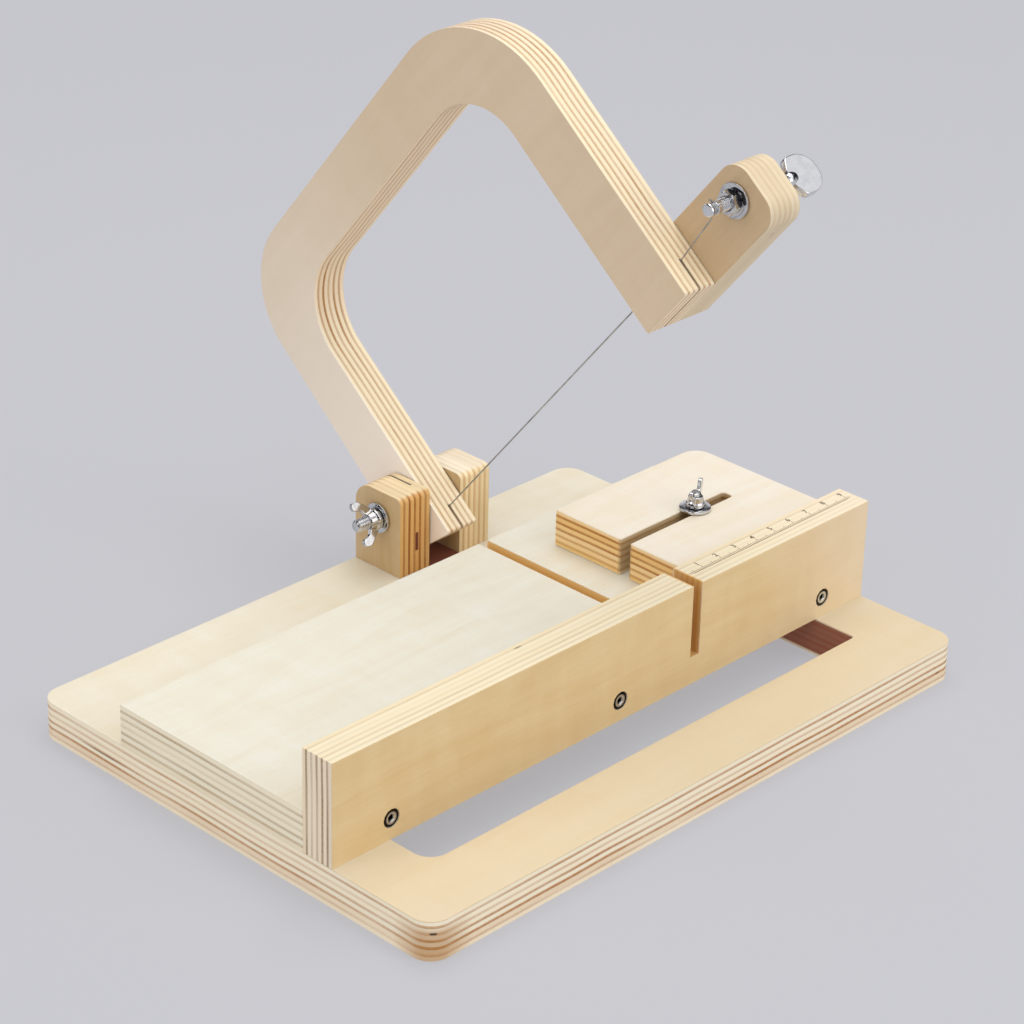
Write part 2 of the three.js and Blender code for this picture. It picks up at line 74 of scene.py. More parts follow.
PIVOT = Vector(JOINTS["arm_pivot"]["pos_m"])
LIFT = math.radians(JOINTS["arm_pivot"]["range_deg"][1])  # the arm is raised this far from the deck
TUNER = Vector(JOINTS["tension_turn"]["pos_m"])
TUNER_TURN = math.radians(92)  # turn of the flat thumb head about the screw
ARM_ROTATION = Matrix.Rotation(-LIFT, 4, "X")
ARM_BACK = ARM_ROTATION.to_3x3() @ Y  # along the arm's own axes, away from the tip and away from the deck
ARM_UP = ARM_ROTATION.to_3x3() @ Z


def link(name, data):
    obj = bpy.data.objects.new(name, data)
    bpy.context.scene.collection.objects.link(obj)
    return obj


# ---------------------------------------------------------------- camera, stage and light


def make_camera():
    data = bpy.data.cameras.new("camera")
    data.lens = 113.24
    data.sensor_width = 36
    camera = link("camera", data)
    heading = math.radians(46.116)  # from +Y towards +X
    tilt = math.radians(27.102)  # below the horizon
    roll = math.radians(1.423)
    place = Matrix.Translation((-0.725, -0.69747, 0.59235))
    turn = Matrix.Rotation(-heading, 4, "Z") @ Matrix.Rotation(math.pi / 2 - tilt, 4, "X")
    camera.matrix_world = place @ turn @ Matrix.Rotation(roll, 4, "Z")
    bpy.context.scene.camera = camera


def linear(code):
    """Linear red, green, blue and alpha of a #RRGGBB colour."""
    parts = [int(code[i : i + 2], 16) / 255 for i in (1, 3, 5)]
    return tuple(c / 12.92 if c <= 0.04045 else ((c + 0.055) / 1.055) ** 2.4 for c in parts) + (1.0,)


class Graph:
    """Short way to write shader nodes: each call adds a node and returns its output."""

    def __init__(self, tree):
        self.tree = tree
        tree.nodes.clear()

    def node(self, kind, **settings):
        made = self.tree.nodes.new(kind)
        for key, value in settings.items():
            setattr(made, key, value)
        return made

    def feed(self, socket, value):
        if isinstance(value, bpy.types.NodeSocket):
            self.tree.links.new(value, socket)
        else:
            socket.default_value = value

    def math(self, operation, a, b=0.0, c=0.0, clamp=False):
        made = self.node("ShaderNodeMath", operation=operation, use_clamp=clamp)
        for socket, value in zip(made.inputs, (a, b, c)):
            self.feed(socket, value)
        return made.outputs[0]

    def stretch(self, vector, scale, shift=(0, 0, 0)):
        made = self.node("ShaderNodeVectorMath", operation="MULTIPLY_ADD")
        self.feed(made.inputs[0], vector)
        made.inputs[1].default_value = scale
        made.inputs[2].default_value = shift
        return made.outputs[0]

    def into(self, axes, vector, point=True):
        """A point or direction of the object's own space, seen in a board's own axes."""
        made = self.node("ShaderNodeMapping", vector_type="TEXTURE")
        self.feed(made.inputs["Vector"], vector)
        if point:
            made.inputs["Location"].default_value = axes.translation
        made.inputs["Rotation"].default_value = axes.to_euler()
        return made.outputs["Vector"]

    def join(self, x, y, z):
        made = self.node("ShaderNodeCombineXYZ")
        for socket, value in zip(made.inputs, (x, y, z)):
            self.feed(socket, value)
        return made.outputs[0]

    def split(self, vector):
        made = self.node("ShaderNodeSeparateXYZ")
        self.feed(made.inputs[0], vector)
        return made.outputs[0], made.outputs[1], made.outputs[2]

    def noise(self, vector, detail=2.0, roughness=0.5, distortion=0.0):
        made = self.node("ShaderNodeTexNoise")
        self.feed(made.inputs["Vector"], vector)
        made.inputs["Scale"].default_value = 1.0
        made.inputs["Detail"].default_value = detail
        made.inputs["Roughness"].default_value = roughness
        made.inputs["Distortion"].default_value = distortion
        return made.outputs["Fac"]

    def chance(self, value):
        made = self.node("ShaderNodeTexWhiteNoise", noise_dimensions="1D")
        self.feed(made.inputs["W"], value)
        return made.outputs["Value"]

    def between(self, value, low, high, to_low=0.0, to_high=1.0):
        """Straight line from low..high to to_low..to_high, held at both ends."""
        made = self.node("ShaderNodeMapRange")
        made.clamp = True
        self.feed(made.inputs["Value"], value)
        made.inputs["From Min"].default_value = low
        made.inputs["From Max"].default_value = high
        made.inputs["To Min"].default_value = to_low
        made.inputs["To Max"].default_value = to_high
        return made.outputs["Result"]

    def mix(self, share, a, b, blend="MIX"):
        made = self.node("ShaderNodeMix", data_type="RGBA", blend_type=blend)
        self.feed(made.inputs[0], share)
        self.feed(made.inputs[6], a)
        self.feed(made.inputs[7], b)
        return made.outputs[2]

    def bump(self, height, distance, strength):
        made = self.node("ShaderNodeBump")
        made.inputs["Strength"].default_value = strength
        made.inputs["Distance"].default_value = distance
        self.feed(made.inputs["Height"], height)
        return made.outputs["Normal"]


def fresh_material(name):
    material = bpy.data.materials.new(name)
    material.use_nodes = True
    graph = Graph(material.node_tree)
    shader = graph.node("ShaderNodeBsdfPrincipled")
    output = graph.node("ShaderNodeOutputMaterial")
    graph.feed(output.inputs["Surface"], shader.outputs["BSDF"])
    return material, graph, shader


def make_stage():
    """Pale floor that glows a little of itself, so that shadows on it stay faint."""
    mesh = bpy.data.meshes.new("floor")
    half = 12
    corners = [(-half, -half, 0), (half, -half, 0), (half, half, 0), (-half, half, 0)]
    mesh.from_pydata(corners, [], [(0, 1, 2, 3)])
    floor = link("floor", mesh)
    material, graph, shader = fresh_material("floor_paint")
    place = graph.node("ShaderNodeTexCoord").outputs["Object"]
    cloud = graph.noise(graph.stretch(place, (1.5, 1.5, 1.5)), detail=2)
    graph.feed(shader.inputs["Base Color"], graph.mix(cloud, linear("#76777C"), linear("#7A7B80")))
    shader.inputs["Roughness"].default_value = 0.85
    shader.inputs["Emission Color"].default_value = linear("#9E9EA2")
    shader.inputs["Emission Strength"].default_value = 1.0
    mesh.materials.append(material)


def make_world():
    """Even pale light from all round; polished metal mirrors dark panels and rings in it."""
    world = bpy.data.worlds.new("studio")
    bpy.context.scene.world = world
    world.use_nodes = True
    graph = Graph(world.node_tree)
    background = graph.node("ShaderNodeBackground")
    output = graph.node("ShaderNodeOutputWorld")
    direction = graph.node("ShaderNodeTexCoord").outputs["Generated"]
    x, y, z = graph.split(direction)
    panels = graph.math("SINE", graph.math("MULTIPLY_ADD", graph.math("ARCTAN2", y, x), 5.0, 4.2))
    rings = graph.math("SINE", graph.math("MULTIPLY_ADD", z, 19.0, 1.4))
    dark = graph.math("MAXIMUM", graph.between(panels, 0.1, -0.35), graph.between(rings, -0.15, -0.5))
    left = graph.math("MULTIPLY", graph.between(x, -0.1, -0.9), 0.4)
    wall = graph.mix(left, linear("#FAFAFC"), linear("#FFFFFF"))
    panelled = graph.mix(dark, wall, linear("#17181C"))
    mirrored = graph.node("ShaderNodeLightPath").outputs["Is Glossy Ray"]
    graph.feed(background.inputs["Color"], graph.mix(mirrored, linear("#C8C9CD"), panelled))
    background.inputs["Strength"].default_value = 1.0
    graph.feed(output.inputs["Surface"], background.outputs["Background"])


def area_light(name, place, target, size, power, colour, mirrored=True):
    data = bpy.data.lights.new(name, "AREA")
    data.shape = "SQUARE"
    data.size = size
    data.energy = power
    data.color = linear(colour)[:3]
    light = link(name, data)
    light.location = place
    light.visible_glossy = mirrored
    light.rotation_mode = "QUATERNION"
    light.rotation_quaternion = (Vector(target) - Vector(place)).to_track_quat("-Z", "Y")


def make_lights():
    middle = (0, 0, 0.08)
    area_light("key_light", (0.35, 0.35, 1.8), middle, 1.2, 12.5, "#FFFBF5")
    area_light("top_light", (-0.1, -0.7, 1.8), middle, 1.6, 8, "#FBFCFF")
    area_light("front_fill", (0.6, -1.7, 0.75), middle, 1.5, 12, "#FFFBF5")
    area_light("left_fill", (-1.6, 0.1, 0.6), middle, 1.5, 9.5, "#FFFBF2", mirrored=False)


# ---------------------------------------------------------------- plywood

PLY_PAIRS = 5.62  # a light and a dark ply make a pair; the outer plies are both light
DARK_FROM = 0.62  # share of a pair where its dark ply starts
FAR = 1.0  # beyond every board
SKIN = 0.3 * MM  # how deep into a face a stain reaches that covers it, or that stops short of it
CUT_X = PIVOT.x - 1.0 * MM  # middle of the saw cut, a little left of the wire
CUT_REACH = 2.9 * MM  # half width of a stain that covers the cut's walls


def feathers(x=0.25, y=0.25, z=0.25):
    """How far a stain fades along each axis, from millimetres."""
    return (x * MM, y * MM, z * MM)


# face and dark are the veneer's light and dark tones and edge the tone of the plies cut across. rims are
# the tones of the other plies, and contrast how strongly the cut ones show, each on edges that face the
# grain and on edges that face across it.
Tones = namedtuple("Tones", "face dark edge rims contrast")

# Tints the box from low to high, in a board's own axes, by a share, and fades over its feathers.
Stain = namedtuple("Stain", "low high colour share feathers", defaults=(feathers(),))


def own_axes(origin, along, across):
    """Matrix of a board's own axes: grain, across the grain, and thickness."""
    through = along.cross(across)
    turn = Matrix((along, across, through)).transposed().to_4x4()
    return Matrix.Translation(origin) @ turn


def veneer(graph, place, shift, tones):
    """Colour of a face, and the fibres: soft flame figure, satin bands across the grain, small flecks."""
    fibre = graph.noise(graph.stretch(place, (55, 1100, 1100), shift), detail=3, roughness=0.6)
    flame = graph.noise(graph.stretch(place, (9, 70, 70), shift), detail=3, roughness=0.55, distortion=1.4)
    satin = graph.noise(graph.stretch(place, (120, 28, 28), shift), detail=2)
    fleck = graph.noise(graph.stretch(place, (210, 2300, 2300), shift), detail=1)
    tone = graph.math("ADD", graph.between(flame, 0.35, 0.7, 0, 0.5), graph.between(satin, 0.3, 0.7, 0, 0.3))
    tone = graph.math("MULTIPLY_ADD", graph.between(fibre, 0.3, 0.7), 0.2, tone, clamp=True)
    colour = graph.mix(tone, linear(tones.face), linear(tones.dark))
    flecks = graph.math("MULTIPLY", graph.between(fleck, 0.70, 0.78), 0.16)
    return graph.mix(flecks, colour, linear("#9C7A4C")), fibre


def stained(graph, colour, parts, stains):
    """The colour with every stain laid over it; parts are x, y and z in the board's own axes."""
    for stain in stains:
        mask = stain.share
        for part, low, high, feather in zip(parts, stain.low, stain.high, stain.feathers):
            mask = graph.math("MULTIPLY", mask, graph.between(part, low - feather, low + feather))
            mask = graph.math("MULTIPLY", mask, graph.between(part, high + feather, high - feather))
        colour = graph.mix(mask, colour, linear(stain.colour))
    return colour


def plywood(name, axes, thick, seed, tones, stains):
    """Birch plywood in a board's own axes: grain along X, thickness along Z from 0 to thick."""
    material, graph, shader = fresh_material(name)
    coordinates = graph.node("ShaderNodeTexCoord")
    place = graph.into(axes, coordinates.outputs["Object"])
    facing = graph.into(axes, coordinates.outputs["Normal"], point=False)
    shift = (seed * 0.731, seed * 0.417, seed * 0.293)
    x, y, z = graph.split(place)
    nx, ny, nz = (graph.math("ABSOLUTE", part) for part in graph.split(facing))
    face, fibre = veneer(graph, place, shift, tones)

    # Plies on the edges: pairs of a broad light and a thin dark one, a little wavy, no two alike.
    depth = graph.between(z, 0, thick)
    inner = graph.math("MULTIPLY", depth, graph.math("SUBTRACT", 1, depth))
    sway = graph.noise(graph.stretch(place, (26, 26, 5), shift), detail=1)
    sway = graph.math("MULTIPLY", graph.math("SUBTRACT", sway, 0.5), graph.math("MULTIPLY", inner, 1.9))
    layer = graph.math("MULTIPLY_ADD", depth, PLY_PAIRS, sway)
    pair = graph.math("FLOOR", layer)
    within = graph.math("FRACT", layer)
    luck = graph.chance(graph.math("ADD", pair, seed))
    other_luck = graph.chance(graph.math("ADD", pair, seed + 0.37))
    soft = 0.05
    starts = graph.between(within, DARK_FROM - soft, DARK_FROM + soft)
    dark_ply = graph.math("MULTIPLY", starts, graph.between(within, 1, 1 - 2 * soft))
    glue = graph.between(graph.math("ABSOLUTE", graph.math("SUBTRACT", within, DARK_FROM)), 0.07, 0.02)
    glue = graph.math("MAXIMUM", glue, graph.between(within, 0.95, 0.99))

    speck = graph.noise(graph.stretch(place, (900, 900, 900), shift), detail=2, roughness=0.7)
    along_ply = graph.join(graph.math("MULTIPLY", x, 22), graph.math("MULTIPLY", y, 22), pair)
    drift = graph.noise(along_ply, detail=1)
    rim = graph.between(nz, 0.5, 0.15)
    across_grain = graph.math("MULTIPLY", ny, tones.contrast[1])
    strength = graph.math("MULTIPLY_ADD", nx, tones.contrast[0], across_grain)
    strength = graph.math("MULTIPLY", strength, graph.between(luck, 0, 1, 0.45, 1.15))
    strength = graph.math("MULTIPLY", strength, graph.between(drift, 0.3, 0.7, 0.55, 1.15))
    strength = graph.math("MULTIPLY", strength, graph.between(speck, 0.3, 0.75, 0.8, 1.12))
    cut_share = graph.math("MULTIPLY", strength, dark_ply, clamp=True)
    rim_tone = graph.mix(graph.between(ny, 0.3, 0.7), linear(tones.rims[0]), linear(tones.rims[1]))
    rim_share = graph.math("MULTIPLY", rim, graph.between(other_luck, 0, 1, 0.6, 1))
    colour = graph.mix(rim_share, face, rim_tone)
    warm = graph.math("MULTIPLY", strength, graph.between(other_luck, 0.5, 1))
    warm = graph.math("MULTIPLY", warm, 0.4, clamp=True)
    colour = graph.mix(graph.math("MULTIPLY", warm, rim), colour, linear(tones.edge))
    colour = graph.mix(cut_share, colour, linear(tones.edge))
    glue_strength = graph.math("MULTIPLY", strength, 0.62)
    glue_share = graph.math("MULTIPLY", graph.math("MULTIPLY", glue, rim), glue_strength)
    colour = graph.mix(glue_share, colour, linear("#6E4522"))

    # Rare voids in the dark plies, each ply with its own places.
    across = graph.math("MULTIPLY", luck, 90)
    spot = graph.join(graph.math("MULTIPLY", x, 60), graph.math("MULTIPLY", y, 60), across)
    gap = graph.between(graph.noise(spot, detail=0), 0.82, 0.84)
    gap = graph.math("MULTIPLY", graph.math("MULTIPLY", gap, rim), dark_ply)
    colour = graph.mix(graph.math("MULTIPLY", gap, 0.75), colour, linear("#4E2A12"))

    graph.feed(shader.inputs["Base Color"], stained(graph, colour, (x, y, z), stains))
    graph.feed(shader.inputs["Roughness"], graph.between(fibre, 0.2, 0.8, 0.42, 0.56))
    relief = graph.math("MULTIPLY_ADD", graph.math("MULTIPLY", cut_share, speck), 1.6, fibre)
    relief = graph.math("SUBTRACT", relief, graph.math("MULTIPLY_ADD", gap, 2.0, glue_share))
    graph.feed(shader.inputs["Normal"], graph.bump(relief, 0.06 * MM, 0.8))
    return material


def evaluated_mesh(obj):
    bpy.context.view_layer.update()
    evaluated = obj.evaluated_get(bpy.context.evaluated_depsgraph_get())
    return bpy.data.meshes.new_from_object(evaluated)


def mesh_of(data):
    """Mesh of a curve or of a text."""
    obj = link("shape", data)
    mesh = evaluated_mesh(obj)
    bpy.data.objects.remove(obj)
    return mesh


def finished(obj):
    """Applies the object's modifiers and returns the same object with the resulting mesh."""
    mesh = evaluated_mesh(obj)
    obj.modifiers.clear()
    obj.data = mesh
    return obj


def cad_shape(node):
    """Copy of a CAD node's mesh without its stored normals, and the same with its vertices joined."""
    mesh = NODES[node].data.copy()
    for layer in [a for a in mesh.attributes if a.name == "custom_normal"]:
        mesh.attributes.remove(layer)
    shape = bmesh.new()
    shape.from_mesh(mesh)
    bmesh.ops.remove_doubles(shape, verts=shape.verts, dist=0.01 * MM)
    return mesh, shape


def belong(obj, node, material, slot, smooth_angle=None, matrix=None):
    """Puts a piece in its place, gives it material and body, and hides the CAD node it stands for."""
    if matrix is not None:
        turn = matrix.to_3x3().to_4x4()
        obj.data.transform(turn)  # turned in the mesh, so that the object's box stays close around it
        obj.location = matrix.translation
    obj.data.materials.clear()
    obj.data.materials.append(material)
    if smooth_angle is not None:
        obj.data.shade_smooth()
        obj.data.set_sharp_from_angle(angle=math.radians(smooth_angle))
    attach(obj, NODES[node]["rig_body"])
    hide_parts(node)


def eased_board(node, axes, ease, material, keep_sharp):
    """Copy of a CAD board with its sharp edges rounded over.

    keep_sharp(point), in the board's own axes, is true where an edge stays as the saw left it.
    """
    mesh, shape = cad_shape(node)
    inward = axes.inverted()
    bmesh.ops.dissolve_limit(shape, angle_limit=math.radians(1), verts=shape.verts, edges=shape.edges)
    weight = shape.edges.layers.float.new("bevel_weight_edge")
    for edge in shape.edges:
        if len(edge.link_faces) == 2 and edge.calc_face_angle() > math.radians(35):
            middle = inward @ ((edge.verts[0].co + edge.verts[1].co) / 2)
            edge[weight] = 0.0 if keep_sharp and keep_sharp(middle) else 1.0
    shape.to_mesh(mesh)
    shape.free()
    piece = link(node + "_wood", mesh)
    bevel = piece.modifiers.new("ease", "BEVEL")
    bevel.limit_method = "WEIGHT"
    bevel.width = ease
    bevel.segments = 4
    finished(piece)
    shape = bmesh.new()
    shape.from_mesh(piece.data)
    bmesh.ops.remove_doubles(shape, verts=shape.verts, dist=0.02 * MM)
    bmesh.ops.dissolve_degenerate(shape, edges=shape.edges, dist=0.01 * MM)
    bmesh.ops.triangulate(shape, faces=[f for f in shape.faces if len(f.verts) > 4], ngon_method="BEAUTY")
    shape.to_mesh(piece.data)
    shape.free()
    piece.data.shade_smooth()
    piece.data.set_sharp_from_angle(angle=math.radians(38))
    even = piece.modifiers.new("even", "WEIGHTED_NORMAL")
    even.keep_sharp = True
    even.mode = "FACE_AREA_WITH_ANGLE"
    even.weight = 50
    belong(finished(piece), node, material, "birch_plywood")


def make_board(node, axis, axes, seed, tones, stains=(), ease=0.7 * MM, keep_sharp=None):
    """A CAD board, thick along the world's axis 0, 1 or 2, with its edges eased and its wood's material."""
    low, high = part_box(node)
    wood = plywood(node + "_plywood", axes, high[axis] - low[axis], seed, tones, stains)
    eased_board(node, axes, ease, wood, keep_sharp)


def near_cut(point):
    return abs(point.x - CUT_X) < 3.4 * MM


def make_base():
    low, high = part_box("base_board")
    ear_low, ear_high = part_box("pivot_ear_left")
    other_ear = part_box("pivot_ear_right")[0]
    thick = high.z - low.z
    slot_right, slot_front, slot_back = 108.5 * MM, -72 * MM, -32 * MM
    crack_y = high.y - 36 * MM
    # Painted shade: a golden darkening over the front of the base's top.
    golden_front_shade = Stain((-FAR, -FAR, thick - SKIN), (FAR, -50 * MM, FAR), "#D0B688", 0.55, feathers(y=20))
    brown_corner = Stain(
        (-FAR, -FAR, -FAR), (low.x + 13 * MM, low.y + 11 * MM, thick - 3 * MM),
        "#B07C38", 0.6, feathers(6, 6, 1.5),
    )
    # Painted shade: the base's top between the two ears is painted dark red-brown.
    shade_between_ears = Stain(
        (ear_high.x - SKIN, ear_low.y - SKIN, thick - SKIN), (other_ear.x, FAR, FAR),
        "#7A2A0C", 0.92,
    )
    # Painted shade: the inside of the handle slot's right end is painted dark red-brown.
    slot_end_shade = Stain(
        (slot_right - 2.5 * MM, slot_front - 0.5 * MM, 1 * MM),
        (slot_right + 3.5 * MM, slot_back + 1 * MM, thick - 0.5 * MM),
        "#8A3A10", 0.9,
    )
    nick = Stain(
        (low.x + 1 * MM, low.y - 1 * MM, 10 * MM), (low.x + 4 * MM, low.y + 2.5 * MM, 10.8 * MM),
        "#120903", 0.95,
    )
    crack = Stain(
        (-FAR, crack_y - 9 * MM, 6.6 * MM), (low.x + 1 * MM, crack_y + 9 * MM, 7.1 * MM),
        "#3A2208", 0.85, feathers(y=5),
    )
    tones = Tones("#E6E0CF", "#E0D4B8", "#BA7A36", ("#F8EACE", "#FCEED0"), (0.75, 0.95))
    stains = (golden_front_shade, brown_corner, shade_between_ears, slot_end_shade, nick, crack)
    make_board("base_board", 2, own_axes(Vector((0, 0, low.z)), X, Y), 1.0, tones, stains, ease=1.0 * MM)


def make_deck():
    low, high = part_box("deck_board")
    # The cut's walls: golden saw-burnt wood, and painted light that lifts the shade inside the narrow cut.
    burnt_and_lit_cut = Stain(
        (CUT_X - CUT_REACH, -FAR, 4 * MM), (CUT_X + CUT_REACH, FAR, high.z - low.z - SKIN),
        "#E4BE76", 0.9,
    )
    tones = Tones("#E3E1D5", "#DDD5BE", "#A48048", ("#F4E8CC", "#F4E6CC"), (0.55, 0.7))
    axes = own_axes(Vector((0, 0, low.z)), X, Y)
    make_board("deck_board", 2, axes, 2.0, tones, (burnt_and_lit_cut,), keep_sharp=near_cut)


def make_fence():
    low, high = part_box("fence_board")
    # The cut's walls: golden saw-burnt wood, and painted light that lifts the shade inside the narrow cut.
    burnt_and_lit_cut = Stain(
        (CUT_X - CUT_REACH, -FAR, SKIN), (CUT_X + CUT_REACH, FAR, high.y - low.y - SKIN),
        "#D29A3C", 0.8,
    )
    pale_end = Stain((110 * MM, -FAR, -FAR), (FAR, FAR, FAR), "#F2E0C8", 0.55, feathers(x=40))
    tones = Tones("#E2CA9C", "#D7B780", "#8C6C4E", ("#F2E4CE", "#EBE0C3"), (0.9, 0.24))
    axes = own_axes(Vector((0, high.y, 0)), X, Z)
    make_board("fence_board", 1, axes, 3.0, tones, (pale_end, burnt_and_lit_cut), keep_sharp=near_cut)


def make_stop():
    low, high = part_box("stop_block")
    slot = middle_of("stop_bolt")
    reach = 3.2 * MM
    # Painted shade on the walls of the slot that the stop bolt runs in.
    slot_wall_shade = Stain(
        (-FAR, slot.y - reach, 1 * MM), (slot.x + 22 * MM, slot.y + reach, high.z - low.z - SKIN),
        "#A88A5C", 0.6,
    )
    tones = Tones("#EAE3D7", "#E4D7BD", "#B47018", ("#EEC476", "#F4DFB6"), (1.15, 0.9))
    make_board("stop_block", 2, own_axes(Vector((0, 0, low.z)), X, Y), 4.0, tones, (slot_wall_shade,))


def make_ears():
    """The two pivot ears, grain upright. The left one has a void in its front and a slit on top, the slit
    only a near-black line of painted shade.
    """
    void = Stain((9.2 * MM, 8 * MM, 8 * MM), (16.8 * MM, 13 * MM, 9.5 * MM), "#5E0A0C", 0.95)
    # Painted shade: the slit on the left ear's top is drawn only as a near-black line.
    slit_shade = Stain((32 * MM, -10.5 * MM, 11.8 * MM), (34 * MM, 4.5 * MM, 12.6 * MM), "#140A02", 1.0)
    for side, seed, stains, edge, crown, front, contrast in (
        ("left", 5.0, (slit_shade, void), "#A45C0D", "#F6E0B4", "#E6B468", 1.2),
        ("right", 6.0, (), "#C48636", "#FBF0D8", "#FFEBBE", 0.72),
    ):
        node = "pivot_ear_" + side
        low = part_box(node)[0]
        tones = Tones("#C8AF88", "#B89664", edge, (crown, front), (0.16, contrast))
        make_board(node, 0, own_axes(Vector((low.x, PIVOT.y, low.z)), Z, -Y), seed, tones, stains)


def make_arm():
    """Bow arm and cheek, in axes that are turned with the raised arm."""
    low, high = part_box("bow_arm")
    middle = (high.x - low.x) / 2
    axes = own_axes(Vector((low.x, PIVOT.y, PIVOT.z)), ARM_BACK, ARM_UP)
    # Painted light: the lower part of the arm's left face, towards the heel, is painted pale.
    lit_heel = Stain((-60 * MM, -FAR, -FAR), (FAR, 90 * MM, 0.5 * MM), "#F8EEE2", 0.86, feathers(40, 80))
    tones = Tones("#D8C3A8", "#D0BA9A", "#B07C3C", ("#F6E7C6", "#F6E2C4"), (0.75, 0.7))

    def in_slit(point):
        return abs(point.z - middle) < 1.0 * MM

    make_board("bow_arm", 0, axes, 7.0, tones, (lit_heel,), keep_sharp=in_slit)
    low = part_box("tension_cheek")[0]
    axes = own_axes(Vector((low.x, PIVOT.y, PIVOT.z)), ARM_BACK, ARM_UP)
    tones = Tones("#C9AE8B", "#BAA07B", "#C0945C", ("#E2D3B4", "#E2D3B4"), (0.35, 0.3))
    make_board("tension_cheek", 0, axes, 8.0, tones)


def make_boards():
    make_base()
    make_deck()
    make_fence()
    make_stop()
    make_ears()
    make_arm()


# ---------------------------------------------------------------- metal


def metal(name, light, dark, roughness, scratches=0.25, band=None):
    """Plated or drawn steel with faint clouding and fine scratches; a band along X may be painted near black
    as painted shade.
    """
    material, graph, shader = fresh_material(name)
    place = graph.node("ShaderNodeTexCoord").outputs["Object"]
    cloud = graph.noise(graph.stretch(place, (260, 260, 260)), detail=4, roughness=0.6)
    scratch = graph.noise(graph.stretch(place, (400, 5200, 5200)), detail=2)
    colour = graph.mix(graph.between(cloud, 0.3, 0.7), linear(light), linear(dark))
    if band:
        along = graph.split(place)[0]
        edge = 0.05 * MM
        starts = graph.between(along, band[0] - edge, band[0])
        ends = graph.between(along, band[1] + edge, band[1])
        colour = graph.mix(graph.math("MULTIPLY", starts, ends), colour, linear("#15130F"))
    graph.feed(shader.inputs["Base Color"], colour)
    shader.inputs["Metallic"].default_value = 1.0
    rough = graph.math("MULTIPLY_ADD", scratch, 0.06, roughness - 0.03)
    graph.feed(shader.inputs["Roughness"], graph.math("MULTIPLY_ADD", cloud, 0.04, rough))
    graph.feed(shader.inputs["Normal"], graph.bump(scratch, 0.01 * MM, scratches))
    return material


def mesh_from(points, faces, name):
    mesh = bpy.data.meshes.new(name)
    mesh.from_pydata([Vector(point) * MM for point in points], [], faces)
    mesh.validate()
    return mesh


def loft(name, rings, sides=64, closed=False):
    """Mesh through rings (height, radius); a radius may be a function of the angle, and 0 is a pole."""
    points, rows = [], []
    for height, radius in rings:
        if radius == 0:
            rows.append([len(points)] * sides)
            points.append((0, 0, height))
            continue
        rows.append(range(len(points), len(points) + sides))
        for k in range(sides):
            angle = math.tau * k / sides
            reach = radius(angle) if callable(radius) else radius
            points.append((reach * math.cos(angle), reach * math.sin(angle), height))
    pairs = list(zip(rows, rows[1:]))
    if closed:
        pairs.append((rows[-1], rows[0]))
    faces = []
    for low, high in pairs:
        for k in range(sides):
            n = (k + 1) % sides
            corners = [low[k], low[n], high[n], high[k]]
            face = [c for i, c in enumerate(corners) if c not in corners[:i]]
            if len(face) > 2:
                faces.append(face)
    return mesh_from(points, faces, name)


def hexagon(flat):
    """Radius of a hexagon with that distance from its centre to a flat."""
    return lambda angle: flat / math.cos((angle + math.pi / 6) % (math.pi / 3) - math.pi / 6)


def chamfered(shape, limit):
    return lambda angle: min(shape(angle), limit)


def cross(reach, half_width):
    """Radius of a cross-shaped recess."""

    def radius(angle):
        side = abs(math.sin(angle)), abs(math.cos(angle))
        return min(reach, half_width / max(min(side), 1e-6))

    return radius


def scaled(shape, factor):
    return lambda angle: shape(angle) * factor


def nut_rings(flat, low, high):
    """Rings of a hexagon's sides with its corners chamfered at 30 degrees at both ends."""
    steps = 5
    steep = math.tan(math.radians(60))
    corner = flat / math.cos(math.pi / 6)
    rise = (corner - flat) / steep * 1.15
    rings = []
    for k in range(steps + 1):
        climb = rise * k / steps
        rings.append((low + climb, chamfered(hexagon(flat), flat * 0.985 + climb * steep)))
    return rings + [(high + low - height, radius) for height, radius in reversed(rings)]


def threaded_shank(radius, low, high, pitch):
    """Points and faces of a shank with a helical groove, chamfered at its far end."""
    sides, per_turn = 48, 8
    depth = 0.55 * pitch
    tip = 0.7
    rows = round((high - low) / pitch * per_turn)
    points = []
    for row in range(rows + 1):
        height = low + (high - low) * row / rows
        for k in range(sides):
            phase = (height / pitch - k / sides) % 1
            groove = depth * min(1.0, max(0.0, 1.25 - abs(phase - 0.5) * 3.2))
            reach = min(radius - groove, radius - tip + high - height)
            angle = math.tau * k / sides
            points.append((reach * math.cos(angle), reach * math.sin(angle), height))
    faces = []
    for row in range(rows):
        for k in range(sides):
            n = (k + 1) % sides
            a, b = row * sides, (row + 1) * sides
            faces.append((a + k, a + n, b + n, b + k))
    faces.append(tuple(reversed(range(sides))))
    faces.append(tuple(range(rows * sides, (rows + 1) * sides)))
    return points, faces


def rounded_outline(corners, step=math.radians(10)):
    """Points of a closed outline through corners (u, v, radius), each rounded by an arc."""
    points = []
    for i, (u, v, radius) in enumerate(corners):
        corner = Vector((u, v))
        if radius == 0:
            points.append(corner)
            continue
        back = (Vector(corners[i - 1][:2]) - corner).normalized()
        ahead = (Vector(corners[(i + 1) % len(corners)][:2]) - corner).normalized()
        half = back.angle(ahead) / 2
        centre = corner + (back + ahead).normalized() * radius / math.sin(half)
        start = corner + back * radius / math.tan(half) - centre
        sweep = (math.pi - 2 * half) * (-1 if back.x * ahead.y - back.y * ahead.x > 0 else 1)
        steps = max(2, math.ceil(abs(sweep) / step))
        for k in range(steps + 1):
            angle = sweep * k / steps
            cos, sin = math.cos(angle), math.sin(angle)
            points.append(centre + Vector((start.x * cos - start.y * sin, start.x * sin + start.y * cos)))
    return points


